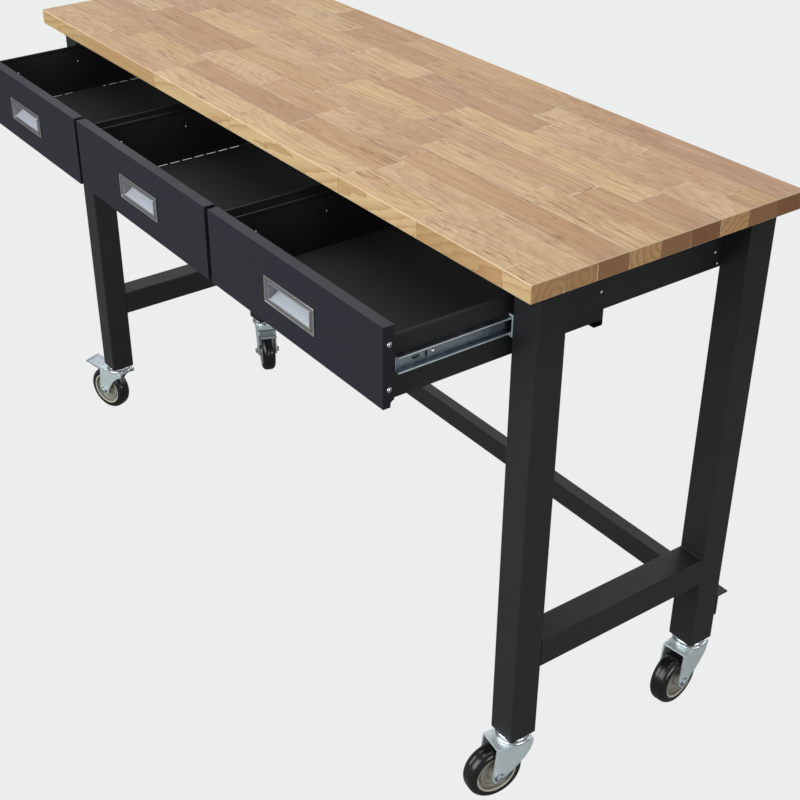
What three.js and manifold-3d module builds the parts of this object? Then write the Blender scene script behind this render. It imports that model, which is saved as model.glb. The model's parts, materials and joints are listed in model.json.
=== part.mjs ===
// Rolling workbench: a wood worktop on a black steel frame, three drawers on ball slides, four swivel casters.
// Millimetres, +Z up. X runs along the bench and the drawers open towards -Y.
import * as THREE from 'three';
import { mergeVertices } from 'three/addons/utils/BufferGeometryUtils.js';
import Module from 'manifold-3d';

const wasm = await Module();
wasm.setup();

// Worktop
const TOP_LENGTH = 1524;
const TOP_DEPTH = 511;
const TOP_THICK = 28;
const TOP_HEIGHT = 960;
const TOP_ROUND = 1.2;

// Frame of square tube
const LEG = 51;
const LEG_WALL = 2;
const LEG_CORNER = 2.5;
const LEG_BASE = 5;
const END_OVERHANG = 21;
const FRONT_OVERHANG = 35;
const REAR_OVERHANG = 26.5;
const SIDE_RAIL_HEIGHT = 261;

// Sheet steel rails under the worktop, and the angle bar low down at the back
const APRON_DROP = 98;
const APRON_SHEET = 2;
const APRON_FLANGE = 18;
const REAR_APRON_INSET = 6;
const DIVIDER_SHEET = 3;
const FRONT_RAIL_DEPTH = 20;
const FRONT_RAIL_DROP = 8;
const FRONT_RAIL_INSET = 3;
const BAR_HEIGHT = 172;
const BAR_WEB = 42;
const BAR_FLANGE = 24;
const BAR_SHEET = 3;

// Drawers of folded sheet
const DRAWER_NAMES = ['left', 'middle', 'right'];
const DRAWER_OPEN = 193;
const DRAWER_DEPTH = 392;
const SHEET = 1.2;
const FRONT_HEIGHT = 121.5;
const FRONT_TOP_GAP = 10.5;
const FRONT_GAP = 11;
const FRONT_END_GAP = 3;
const FRONT_TOP_FLANGE = 18;
const FRONT_TOP_LIP = 5;
const FRONT_BOTTOM_FLANGE = 12;
const FRONT_BOTTOM_LIP = 4.2;
const FRONT_HANG = 6;
const BOX_TOP_DROP = 21;
const BACK_HANG = 9;
const BACK_FLANGE = 16;

// Row of slots in the floor fold of the left and middle drawers
const SLOTTED = ['left', 'middle'];
const SLOT_LENGTH = 20;
const SLOT_WIDTH = 4;
const SLOT_PITCH = 25;
const SLOT_MARGIN = 40;

// Recessed pulls
const PULL_WIDTH = 130;
const PULL_HEIGHT = 42;
const PULL_PLATE = 1.5;
const PULL_DROP = 3;
const CUP_WIDTH = 108;
const CUP_HEIGHT = 27;
const CUP_DEPTH = 15;
const CUP_SHEET = 1.2;
const CUP_RISE = 9;

// Ball slides
const SLIDE_SPACE = 12.7;
const SLIDE_HEIGHT = 35;
const SLIDE_SHEET = 1.2;
const SLIDE_INSET = 2;
const SLIDE_RISE = 4;
const CHANNEL_DEPTH = 9.5;
const RUNNER_HEIGHT = 25;
const RUNNER_DEPTH = 8.5;
const RUNNER_LIP = 3;
const RUNNER_INSET = 26;
const RACE_START = 3;
const RUN_CLEARANCE = 0.3;
const SEAT_GAP = 0.05;

// Casters, each turned as it stands
const CASTER_HEIGHT = 124;
const CASTER_TURN = { front_left: -70, front_right: -8, rear_left: 66, rear_right: 8 };
const BRAKED = ['front_left', 'rear_left'];
const WHEEL_DIAMETER = 100;
const WHEEL_WIDTH = 32;
const TYRE_THICK = 13;
const TYRE_ROUND = 11;
const RIM_LIP = 2.4;
const RIM_DRAFT = 1.4;
const RIM_GROOVE = 3;
const RIM_STEP = 4;
const RIM_WEB = 14;
const HUB_DIAMETER = 24;
const TRAIL = 36;
const FORK_WIDTH = 46;
const FORK_SHEET = 3;
const FORK_EYE = 12;
const FORK_LEAD = 25;
const FORK_HEEL = 42;
const FORK_SHOULDER = 9;
const FORK_BULGE = [0.95, 0.55];
const FORK_WAIST = [0.35, 0.8];
const DISH_DIAMETER = 57;
const DISH_HEIGHT = 5;
const RACE_DIAMETER = 54;
const RACE_HEIGHT = 7;
const STEM_DIAMETER = 12;
const STEM_LENGTH = 26;
const KINGPIN_DIAMETER = 10;
const RIVET_DIAMETER = 18;
const RIVET_HEIGHT = 4;
const AXLE_DIAMETER = 8;
const BOLT_HEAD = 14;
const BOLT_HEAD_THICK = 5.5;
const CLEARANCE = 0.3;

// Brake pedals on the two left casters
const PEDAL_WIDTH = 38;
const PEDAL_SHEET = 2.5;
const PEDAL_REACH = 52;
const PEDAL_RISE = 6;
const PEDAL_ROLL = 6;
const PEDAL_BARREL = 6;
const SHOE_REACH = 15;
const SHOE_GAP = 2.2;

// Facets of round pieces, and the distance within which corners are one
const WHEEL_FACETS = 28;
const ROUND_FACETS = 20;
const SMALL_FACETS = 12;
const ARC_STEPS = 4;
const WELD = 1e-4;

// Places worked out from the sizes above, with Y measured from the middle of the worktop
const topUnder = TOP_HEIGHT - TOP_THICK;
const legFrontY = FRONT_OVERHANG - TOP_DEPTH / 2;
const legRearY = TOP_DEPTH / 2 - REAR_OVERHANG - LEG;
const legOuterX = TOP_LENGTH / 2 - END_OVERHANG;
const legInnerX = legOuterX - LEG;
const bayCount = DRAWER_NAMES.length;
const boxWidth = (2 * legInnerX - 2 * bayCount * SLIDE_SPACE - (bayCount - 1) * DIVIDER_SHEET) / bayCount;
const bayPitch = boxWidth + 2 * SLIDE_SPACE + DIVIDER_SHEET;
const frontWidth = (2 * (legInnerX - FRONT_END_GAP) - (bayCount - 1) * FRONT_GAP) / bayCount;
const frontPitch = frontWidth + FRONT_GAP;
const frontTop = topUnder - FRONT_TOP_GAP;
const frontBottom = frontTop - FRONT_HEIGHT;
const boxTop = frontTop - BOX_TOP_DROP;
const boxBottom = frontBottom + FRONT_HANG;
const slideZ = (boxTop + boxBottom) / 2 + SLIDE_RISE;
const faceY = legFrontY - FRONT_TOP_FLANGE - DRAWER_OPEN;
const rearApronY = legRearY + REAR_APRON_INSET;

// Materials
const wood = new THREE.MeshStandardMaterial({ color: 0xc9a678, roughness: 0.55, metalness: 0 });
const blackSteel = new THREE.MeshStandardMaterial({ color: 0x24262b, roughness: 0.5, metalness: 0.2 });
const zinc = new THREE.MeshStandardMaterial({ color: 0xa9b4bd, roughness: 0.3, metalness: 0.9 });
const satinSteel = new THREE.MeshStandardMaterial({ color: 0xb9bcc2, roughness: 0.35, metalness: 0.9 });
const rubber = new THREE.MeshStandardMaterial({ color: 0x1c1b1d, roughness: 0.35, metalness: 0 });
const rimPlastic = new THREE.MeshStandardMaterial({ color: 0x8d8877, roughness: 0.5, metalness: 0 });

// Solids from closed geometries, and the geometry of a cut or joined solid
function solid(geometry) {
  const bare = geometry.clone();
  bare.deleteAttribute('normal');
  bare.deleteAttribute('uv');
  const merged = mergeVertices(bare, WELD);
  const vertProperties = new Float32Array(merged.attributes.position.array);
  const triVerts = new Uint32Array(merged.index.array);
  return new wasm.Manifold(new wasm.Mesh({ numProp: 3, vertProperties, triVerts }));
}

function geometryOf(body) {
  const mesh = body.getMesh();
  const geometry = new THREE.BufferGeometry();
  geometry.setAttribute('position', new THREE.BufferAttribute(new Float32Array(mesh.vertProperties), 3));
  geometry.setIndex(new THREE.BufferAttribute(new Uint32Array(mesh.triVerts), 1));
  geometry.computeVertexNormals();
  return geometry;
}

function join(first, ...others) {
  return geometryOf(others.reduce((body, other) => body.add(solid(other)), solid(first)));
}

function cut(first, ...others) {
  return geometryOf(others.reduce((body, other) => body.subtract(solid(other)), solid(first)));
}

// Plain shapes placed by their lowest and highest corners, or drawn as an outline and drawn out along an axis
function block(low, high) {
  const size = high.map((value, axis) => value - low[axis]);
  const middle = high.map((value, axis) => (value + low[axis]) / 2);
  return new THREE.BoxGeometry(...size).translate(...middle);
}

function outline(points) {
  return new THREE.Shape(points.map(([u, v]) => new THREE.Vector2(u, v)));
}

function drawn(shape, depth, curveSegments = ARC_STEPS) {
  return new THREE.ExtrudeGeometry(shape, { depth, bevelEnabled: false, curveSegments });
}

function alongX(shape, from, to) {
  const turn = new THREE.Matrix4().makeBasis(
    new THREE.Vector3(0, 1, 0),
    new THREE.Vector3(0, 0, 1),
    new THREE.Vector3(1, 0, 0),
  );
  return drawn(shape, to - from).applyMatrix4(turn).translate(from, 0, 0);
}

function alongY(shape, from, to) {
  const turn = new THREE.Matrix4().makeBasis(
    new THREE.Vector3(1, 0, 0),
    new THREE.Vector3(0, 0, 1),
    new THREE.Vector3(0, -1, 0),
  );
  return drawn(shape, to - from).applyMatrix4(turn).translate(0, to, 0);
}

function alongZ(shape, from, to) {
  return drawn(shape, to - from).translate(0, 0, from);
}

// Round solids: a profile of [radius, height] turned about Z, or of [radius, offset] turned about X
function turnedZ(profile, facets) {
  const points = profile.map(([radius, height]) => new THREE.Vector2(radius, height));
  return new THREE.LatheGeometry(points, facets).rotateX(Math.PI / 2);
}

function turnedX(profile, facets) {
  const points = profile.map(([radius, offset]) => new THREE.Vector2(radius, offset));
  return new THREE.LatheGeometry(points, facets, Math.PI / facets).rotateZ(-Math.PI / 2);
}

function pinX(diameter, from, to, y, z, facets = SMALL_FACETS) {
  const pin = new THREE.CylinderGeometry(diameter / 2, diameter / 2, to - from, facets).rotateZ(Math.PI / 2);
  return pin.translate((from + to) / 2, y, z);
}

function pinZ(diameter, from, to, facets = SMALL_FACETS) {
  const pin = new THREE.CylinderGeometry(diameter / 2, diameter / 2, to - from, facets).rotateX(Math.PI / 2);
  return pin.translate(0, 0, (from + to) / 2);
}

function arc(centre, radius, fromAngle, toAngle, steps = ARC_STEPS) {
  const points = [];
  for (let step = 0; step <= steps; step += 1) {
    const angle = THREE.MathUtils.degToRad(fromAngle + ((toAngle - fromAngle) * step) / steps);
    points.push([centre[0] + radius * Math.cos(angle), centre[1] + radius * Math.sin(angle)]);
  }
  return points;
}

function roundedRect(width, height, radius) {
  const x = width / 2 - radius;
  const y = height / 2 - radius;
  return outline([
    ...arc([x, -y], radius, -90, 0),
    ...arc([x, y], radius, 0, 90),
    ...arc([-x, y], radius, 90, 180),
    ...arc([-x, -y], radius, 180, 270),
  ]);
}

function squareTube(size, wall, corner) {
  const shape = roundedRect(size, size, corner);
  shape.holes.push(roundedRect(size - 2 * wall, size - 2 * wall, Math.max(corner - wall, wall / 2)));
  return shape;
}

const bench = new THREE.Group();

function place(parent, name, geometry, material) {
  const mesh = new THREE.Mesh(geometry, material);
  mesh.name = name;
  parent.add(mesh);
  return mesh;
}

// Worktop board with eased edges
function worktop() {
  const shape = roundedRect(TOP_LENGTH - 2 * TOP_ROUND, TOP_DEPTH - 2 * TOP_ROUND, TOP_ROUND);
  const board = new THREE.ExtrudeGeometry(shape, {
    depth: TOP_THICK - 2 * TOP_ROUND,
    bevelEnabled: true,
    bevelThickness: TOP_ROUND,
    bevelSize: TOP_ROUND,
    bevelSegments: 2,
  });
  return board.translate(0, 0, topUnder + TOP_ROUND);
}

// Leg: an open tube with a plate welded into its foot, drilled for the caster's stem
function leg() {
  const tube = alongZ(roundedRect(LEG, LEG, LEG_CORNER), CASTER_HEIGHT, topUnder);
  const hollow = LEG - 2 * LEG_WALL;
  const bore = alongZ(
    roundedRect(hollow, hollow, Math.max(LEG_CORNER - LEG_WALL, LEG_WALL / 2)),
    CASTER_HEIGHT + LEG_BASE,
    topUnder + LEG,
  );
  const stemHole = pinZ(STEM_DIAMETER + 2 * CLEARANCE, CASTER_HEIGHT - LEG, CASTER_HEIGHT + LEG, ROUND_FACETS);
  return cut(tube, bore, stemHole);
}

const corners = {
  front_left: [-legOuterX + LEG / 2, legFrontY + LEG / 2],
  front_right: [legOuterX - LEG / 2, legFrontY + LEG / 2],
  rear_left: [-legOuterX + LEG / 2, legRearY + LEG / 2],
  rear_right: [legOuterX - LEG / 2, legRearY + LEG / 2],
};

function sideRail() {
  return alongY(squareTube(LEG, LEG_WALL, LEG_CORNER), legFrontY + LEG, legRearY);
}

// Sheet beside the drawers, level with the inner faces of the legs, with a flange under the worktop
function sideApron(side) {
  const shape = outline([
    [side * legInnerX, topUnder - APRON_DROP],
    [side * (legInnerX + APRON_SHEET), topUnder - APRON_DROP],
    [side * (legInnerX + APRON_SHEET), topUnder - APRON_SHEET],
    [side * (legInnerX + APRON_FLANGE), topUnder - APRON_SHEET],
    [side * (legInnerX + APRON_FLANGE), topUnder],
    [side * legInnerX, topUnder],
  ]);
  return alongY(shape, legFrontY + LEG, legRearY);
}

function rearApron() {
  const shape = outline([
    [rearApronY, topUnder - APRON_DROP],
    [rearApronY + APRON_SHEET, topUnder - APRON_DROP],
    [rearApronY + APRON_SHEET, topUnder - APRON_SHEET],
    [rearApronY + APRON_FLANGE, topUnder - APRON_SHEET],
    [rearApronY + APRON_FLANGE, topUnder],
    [rearApronY, topUnder],
  ]);
  return alongX(shape, -legInnerX, legInnerX);
}

const railFrontY = legFrontY + FRONT_RAIL_INSET;
const railRearY = railFrontY + FRONT_RAIL_DEPTH;

function frontRail() {
  return block([-legInnerX, railFrontY, topUnder - FRONT_RAIL_DROP], [legInnerX, railRearY, topUnder]);
}

// Sheet between two drawers, carrying one slide on each face
function divider() {
  const half = DIVIDER_SHEET / 2;
  const shape = outline([
    [-half, topUnder - APRON_DROP],
    [half, topUnder - APRON_DROP],
    [half, topUnder - APRON_SHEET],
    [half + APRON_FLANGE, topUnder - APRON_SHEET],
    [half + APRON_FLANGE, topUnder],
    [-half, topUnder],
  ]);
  return alongY(shape, railRearY, rearApronY);
}

// Angle bar across the backs of the rear legs
function rearBar() {
  const back = legRearY + LEG;
  const top = BAR_HEIGHT + BAR_WEB;
  const shape = outline([
    [back, BAR_HEIGHT],
    [back + BAR_SHEET, BAR_HEIGHT],
    [back + BAR_SHEET, top - BAR_SHEET],
    [back + BAR_FLANGE, top - BAR_SHEET],
    [back + BAR_FLANGE, top],
    [back, top],
  ]);
  return alongX(shape, -legOuterX, legOuterX);
}

// Cabinet member of a slide with its rows of balls, on the face at x = 0 and opening towards +X times side
function slideChannel(side) {
  const half = SLIDE_HEIGHT / 2;
  const flange = half - SLIDE_SHEET;
  const race = RUNNER_HEIGHT / 2 + RUN_CLEARANCE;
  const upper = [
    [CHANNEL_DEPTH, race],
    [CHANNEL_DEPTH, half],
    [0, half],
  ];
  const inner = [
    [SLIDE_SHEET, flange],
    [RACE_START, flange],
    [RACE_START, race],
  ];
  const points = [
    ...upper,
    ...upper.map(([depth, height]) => [depth, -height]).reverse(),
    ...inner.map(([depth, height]) => [depth, -height]).reverse(),
    ...inner,
  ];
  const shape = outline(points.map(([depth, height]) => [side * depth, slideZ + height]));
  return alongY(shape, legFrontY + SLIDE_INSET, rearApronY - SLIDE_INSET);
}

// Drawer member of a slide, with its web on the drawer's wall at x = 0 and opening towards +X times side
function slideRunner(side) {
  const half = RUNNER_HEIGHT / 2;
  const inner = half - SLIDE_SHEET;
  const lip = half - RUNNER_LIP;
  const upper = [
    [0, half],
    [RUNNER_DEPTH, half],
    [RUNNER_DEPTH, lip],
    [RUNNER_DEPTH - SLIDE_SHEET, lip],
    [RUNNER_DEPTH - SLIDE_SHEET, inner],
    [SLIDE_SHEET, inner],
  ];
  const points = [...upper, ...upper.map(([depth, height]) => [depth, -height]).reverse()];
  const shape = outline(points.map(([depth, height]) => [side * depth, slideZ + height]));
  return alongY(shape, faceY + RUNNER_INSET, faceY + DRAWER_DEPTH);
}

// Drawer front: a folded pan with its flanges turned back, and the mouth of the pull cut through its face
function drawerFront() {
  const half = frontWidth / 2;
  const rise = FRONT_HANG + FRONT_BOTTOM_FLANGE;
  const pan = outline([
    [0, 0],
    [FRONT_BOTTOM_FLANGE, 0],
    [FRONT_BOTTOM_FLANGE, FRONT_BOTTOM_LIP],
    [FRONT_BOTTOM_FLANGE - SHEET, FRONT_BOTTOM_LIP],
    [FRONT_BOTTOM_FLANGE - SHEET, SHEET],
    [SHEET, SHEET],
    [SHEET, FRONT_HEIGHT - SHEET],
    [FRONT_TOP_FLANGE - SHEET, FRONT_HEIGHT - SHEET],
    [FRONT_TOP_FLANGE - SHEET, FRONT_HEIGHT - FRONT_TOP_LIP],
    [FRONT_TOP_FLANGE, FRONT_HEIGHT - FRONT_TOP_LIP],
    [FRONT_TOP_FLANGE, FRONT_HEIGHT],
    [0, FRONT_HEIGHT],
  ]);
  const cheek = outline([
    [0, 0],
    [FRONT_BOTTOM_FLANGE, 0],
    [FRONT_BOTTOM_FLANGE, FRONT_BOTTOM_LIP],
    ...arc([FRONT_TOP_FLANGE, FRONT_BOTTOM_LIP], FRONT_TOP_FLANGE - FRONT_BOTTOM_FLANGE, 180, 90),
    [FRONT_TOP_FLANGE, rise],
    [FRONT_TOP_FLANGE, FRONT_HEIGHT],
    [0, FRONT_HEIGHT],
  ]);
  const mouth = block(
    [-CUP_WIDTH / 2 - CLEARANCE, -SHEET, FRONT_HEIGHT / 2 - PULL_DROP - CUP_HEIGHT / 2 - CLEARANCE],
    [CUP_WIDTH / 2 + CLEARANCE, 2 * SHEET, FRONT_HEIGHT / 2 - PULL_DROP + CUP_HEIGHT / 2 + CLEARANCE],
  );
  const folded = join(
    alongX(pan, -half, half),
    alongX(cheek, -half, SHEET - half),
    alongX(cheek, half - SHEET, half),
  );
  return cut(folded, mouth).translate(0, faceY, frontBottom);
}

// Drawer box: floor, two walls and a back whose foot turns in below the floor
function drawerBox(slotted) {
  const half = boxWidth / 2;
  const front = faceY + SHEET;
  const rear = faceY + DRAWER_DEPTH;
  const tray = cut(
    block([-half, front, boxBottom], [half, rear, boxTop]),
    block([SHEET - half, front - SHEET, boxBottom + SHEET], [half - SHEET, rear - SHEET, boxTop + SHEET]),
  );
  const foot = outline([
    [rear, boxBottom],
    [rear - SHEET, boxBottom],
    [rear - SHEET, boxBottom - BACK_HANG + SHEET],
    [rear - BACK_FLANGE, boxBottom - BACK_HANG + SHEET],
    [rear - BACK_FLANGE, boxBottom - BACK_HANG],
    [rear, boxBottom - BACK_HANG],
  ]);
  const box = join(tray, alongX(foot, -half, half));
  if (!slotted) {
    return box;
  }
  const slots = [];
  const first = front + SLOT_MARGIN;
  const last = rear - SLOT_MARGIN - SLOT_LENGTH;
  for (let y = first; y <= last; y += SLOT_PITCH) {
    const low = [SHEET - half, y, boxBottom - SHEET];
    slots.push(block(low, [SHEET - half + SLOT_WIDTH, y + SLOT_LENGTH, boxBottom + 2 * SHEET]));
  }
  return cut(box, ...slots);
}

// Pull: a flat frame on the drawer's face, and behind it a cup whose floor slopes up to the back
function pull() {
  const plate = block([-PULL_WIDTH / 2, -PULL_PLATE, -PULL_HEIGHT / 2], [PULL_WIDTH / 2, 0, PULL_HEIGHT / 2]);
  const cup = block([-CUP_WIDTH / 2, -PULL_PLATE / 2, -CUP_HEIGHT / 2], [CUP_WIDTH / 2, CUP_DEPTH, CUP_HEIGHT / 2]);
  const mouthHalf = CUP_HEIGHT / 2 - CUP_SHEET;
  const hollow = outline([
    [-2 * PULL_PLATE, -mouthHalf],
    [0, -mouthHalf],
    [CUP_DEPTH - CUP_SHEET, CUP_RISE - mouthHalf],
    [CUP_DEPTH - CUP_SHEET, mouthHalf],
    [-2 * PULL_PLATE, mouthHalf],
  ]);
  const body = cut(join(plate, cup), alongX(hollow, CUP_SHEET - CUP_WIDTH / 2, CUP_WIDTH / 2 - CUP_SHEET));
  return body.translate(0, faceY, frontBottom + FRONT_HEIGHT / 2 - PULL_DROP);
}

// Heights of a caster's pieces above the floor
const wheelRadius = WHEEL_DIAMETER / 2;
const raceUnder = CASTER_HEIGHT - RACE_HEIGHT;
const dishTop = raceUnder - CLEARANCE;
const forkTop = dishTop - DISH_HEIGHT;
const forkUnder = forkTop - FORK_SHEET;
const rivetTop = forkUnder - CLEARANCE;
const forkInner = FORK_WIDTH / 2 - FORK_SHEET;
const pedalY = -TRAIL;
const pedalZ = forkUnder - CLEARANCE - PEDAL_BARREL / 2;

// Stem, upper race and kingpin, fixed in the leg's foot
function casterStem() {
  const stem = STEM_DIAMETER / 2;
  const race = RACE_DIAMETER / 2;
  const pin = KINGPIN_DIAMETER / 2;
  const rivet = RIVET_DIAMETER / 2;
  const profile = [
    [0, rivetTop - RIVET_HEIGHT],
    [rivet - RIVET_HEIGHT / 2, rivetTop - RIVET_HEIGHT],
    [rivet, rivetTop - RIVET_HEIGHT / 2],
    [rivet, rivetTop],
    [pin, rivetTop],
    [pin, raceUnder],
    ...arc([race - RACE_HEIGHT / 2, raceUnder + RACE_HEIGHT / 2], RACE_HEIGHT / 2, -90, 90),
    [stem, CASTER_HEIGHT],
    [stem, CASTER_HEIGHT + STEM_LENGTH],
    [0, CASTER_HEIGHT + STEM_LENGTH],
  ];
  return turnedZ(profile, ROUND_FACETS);
}

// Fork: a folded plate whose two cheeks run down to the axle, with the lower race dished into its top
function casterFork(braked) {
  const half = FORK_WIDTH / 2;
  const dish = DISH_DIAMETER / 2 - DISH_HEIGHT / 2;
  const eye = arc([-TRAIL, wheelRadius], FORK_EYE, 180, 335, 2 * ARC_STEPS);
  const low = new THREE.Vector2(...eye[eye.length - 1]);
  const high = new THREE.Vector2(FORK_LEAD, forkTop - FORK_SHOULDER);
  const [across, up] = braked ? FORK_WAIST : FORK_BULGE;
  const bend = new THREE.Vector2(low.x + across * (high.x - low.x), low.y + up * (high.y - low.y));
  const leading = new THREE.QuadraticBezierCurve(low, bend, high).getPoints(ARC_STEPS);
  const cheek = outline([
    [FORK_LEAD, forkTop],
    [-FORK_HEEL, forkTop],
    ...eye,
    ...leading.slice(1).map((point) => [point.x, point.y]),
  ]);
  const top = block([-half, -FORK_HEEL, forkUnder], [half, FORK_LEAD, forkTop]);
  const race = turnedZ(
    [
      [0, forkUnder],
      [dish, forkUnder],
      ...arc([dish, dishTop - DISH_HEIGHT / 2], DISH_HEIGHT / 2, -90, 90),
      [0, dishTop],
    ],
    ROUND_FACETS,
  );
  const folded = join(top, alongX(cheek, -half, -forkInner), alongX(cheek, forkInner, half), race);
  const pinHole = pinZ(KINGPIN_DIAMETER + 2 * CLEARANCE, forkUnder - FORK_SHEET, CASTER_HEIGHT, ROUND_FACETS);
  const axleHole = pinX(AXLE_DIAMETER + 2 * CLEARANCE, -FORK_WIDTH, FORK_WIDTH, -TRAIL, wheelRadius, ROUND_FACETS);
  return cut(folded, pinHole, axleHole);
}

// Axle bolt with its hexagon head and nut outside the fork
function axleBolt() {
  const seat = FORK_WIDTH / 2 + CLEARANCE;
  const end = seat + BOLT_HEAD_THICK;
  return join(
    pinX(AXLE_DIAMETER, -end, end, -TRAIL, wheelRadius, ROUND_FACETS),
    pinX(BOLT_HEAD, seat, end, -TRAIL, wheelRadius, 6),
    pinX(BOLT_HEAD, -end, -seat, -TRAIL, wheelRadius, 6),
  );
}

// Wheel of moulded plastic: hub, web, and a stepped rim with a groove inside its lip
function wheelRim() {
  const outer = wheelRadius - TYRE_THICK - CLEARANCE;
  const bore = AXLE_DIAMETER / 2 + CLEARANCE;
  const hub = HUB_DIAMETER / 2;
  const hubEnd = forkInner - CLEARANCE;
  const rimEnd = WHEEL_WIDTH / 2 - RIM_DRAFT;
  const web = RIM_WEB / 2;
  const lip = outer - RIM_LIP;
  const grooveOut = lip - RIM_DRAFT;
  const grooveIn = grooveOut - RIM_GROOVE;
  const ringOut = grooveIn - RIM_DRAFT;
  const ringIn = ringOut - RIM_LIP;
  const halfProfile = [
    [bore, hubEnd],
    [hub - RIM_DRAFT, hubEnd],
    [hub, hubEnd - RIM_DRAFT],
    [hub, web],
    [ringIn - RIM_DRAFT, web],
    [ringIn, web + RIM_STEP],
    [ringOut, web + RIM_STEP],
    [grooveIn, web],
    [grooveOut, web],
    [lip, rimEnd],
    [outer, rimEnd],
  ];
  const mirrored = halfProfile.map(([radius, offset]) => [radius, -offset]);
  const profile = [...mirrored, ...halfProfile.reverse()];
  return turnedX([...profile, profile[0]], WHEEL_FACETS).translate(0, -TRAIL, wheelRadius);
}

// Tyre with rounded shoulders, its facets set so that a flat one meets the floor
function tyre() {
  const outer = wheelRadius / Math.cos(Math.PI / WHEEL_FACETS);
  const inner = wheelRadius - TYRE_THICK;
  const side = WHEEL_WIDTH / 2;
  const profile = [
    [inner, -side],
    ...arc([outer - TYRE_ROUND, TYRE_ROUND - side], TYRE_ROUND, -90, 0),
    ...arc([outer - TYRE_ROUND, side - TYRE_ROUND], TYRE_ROUND, 0, 90),
    [inner, side],
    [inner, -side],
  ];
  return turnedX(profile, WHEEL_FACETS).translate(0, -TRAIL, wheelRadius);
}

// Brake pedal, hinged between the fork's cheeks, with a shoe that comes down on the tyre
function brakePedal() {
  const half = PEDAL_WIDTH / 2;
  const heel = FORK_HEEL - TRAIL + FORK_SHEET;
  const thick = PEDAL_SHEET / 2;
  const shoe = SHOE_REACH + PEDAL_SHEET;
  const tyreTop = Math.sqrt(wheelRadius ** 2 - SHOE_REACH ** 2) + wheelRadius - pedalZ;
  const strip = outline([
    [0, thick],
    [-heel, thick],
    [-PEDAL_REACH, PEDAL_RISE + thick],
    [-PEDAL_REACH, PEDAL_RISE - thick],
    [-heel - shoe, -thick],
    [-shoe, -thick],
    [-shoe, tyreTop + SHOE_GAP],
    [-SHOE_REACH, tyreTop + SHOE_GAP],
    [-SHOE_REACH, -thick],
    [0, -thick],
  ]);
  const pedal = join(
    alongX(strip, -half, half),
    pinX(PEDAL_BARREL, CLEARANCE - forkInner, forkInner - CLEARANCE, 0, 0),
    pinX(PEDAL_ROLL, -half, half, -PEDAL_REACH, PEDAL_RISE),
  );
  return pedal.translate(0, pedalY, pedalZ);
}

// Assembly of the frame
place(bench, 'worktop', worktop(), wood);
for (const [corner, [x, y]] of Object.entries(corners)) {
  place(bench, `leg_${corner}`, leg(), blackSteel).position.set(x, y, 0);
  place(bench, `caster_stem_${corner}`, casterStem(), zinc).position.set(x, y, 0);
}
for (const [name, side] of [['left', -1], ['right', 1]]) {
  const rail = place(bench, `side_rail_${name}`, sideRail(), blackSteel);
  rail.position.set(side * (legOuterX - LEG / 2), 0, SIDE_RAIL_HEIGHT + LEG / 2);
  place(bench, `side_apron_${name}`, sideApron(side), blackSteel);
}
place(bench, 'front_rail', frontRail(), blackSteel);
place(bench, 'rear_apron', rearApron(), blackSteel);
place(bench, 'rear_bar', rearBar(), blackSteel);
for (const [name, bay] of [['left', -1], ['right', 1]]) {
  place(bench, `divider_${name}`, divider(), blackSteel).position.x = (bay * bayPitch) / 2;
}

// Assembly of the drawers and their slides
DRAWER_NAMES.forEach((name, index) => {
  const bay = index - (bayCount - 1) / 2;
  const boxX = bay * bayPitch;
  const frontX = bay * frontPitch;
  place(bench, `drawer_box_${name}`, drawerBox(SLOTTED.includes(name)), blackSteel).position.x = boxX;
  place(bench, `drawer_front_${name}`, drawerFront(), blackSteel).position.x = frontX;
  place(bench, `drawer_pull_${name}`, pull(), satinSteel).position.x = frontX;
  for (const [hand, side] of [['left', -1], ['right', 1]]) {
    const wall = boxX + (side * boxWidth) / 2;
    const channel = place(bench, `slide_channel_${name}_${hand}`, slideChannel(-side), zinc);
    channel.position.x = wall + side * (SLIDE_SPACE - SEAT_GAP);
    const runner = place(bench, `slide_runner_${name}_${hand}`, slideRunner(side), zinc);
    runner.position.x = wall + side * SEAT_GAP;
  }
});

// Assembly of the casters
for (const [corner, [x, y]] of Object.entries(corners)) {
  const swivel = new THREE.Group();
  swivel.position.set(x, y, 0);
  swivel.rotation.z = THREE.MathUtils.degToRad(CASTER_TURN[corner]);
  place(swivel, `caster_fork_${corner}`, casterFork(BRAKED.includes(corner)), zinc);
  place(swivel, `axle_bolt_${corner}`, axleBolt(), zinc);
  place(swivel, `wheel_rim_${corner}`, wheelRim(), rimPlastic);
  place(swivel, `tyre_${corner}`, tyre(), rubber);
  if (BRAKED.includes(corner)) {
    place(swivel, `brake_pedal_${corner}`, brakePedal(), zinc);
  }
  bench.add(swivel);
}

// The origin lies on the floor, in the middle of the ground that the bench covers with its drawers open
bench.updateMatrixWorld(true);
const extent = new THREE.Box3().setFromObject(bench, true);
bench.position.set(-(extent.min.x + extent.max.x) / 2, -(extent.min.y + extent.max.y) / 2, -extent.min.z);

export default bench;
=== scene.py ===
"""Rolling workbench: looks, small pieces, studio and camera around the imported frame. Metres, +Z up."""
import json
import math

import bmesh
import bpy
from mathutils import Matrix, Vector


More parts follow.
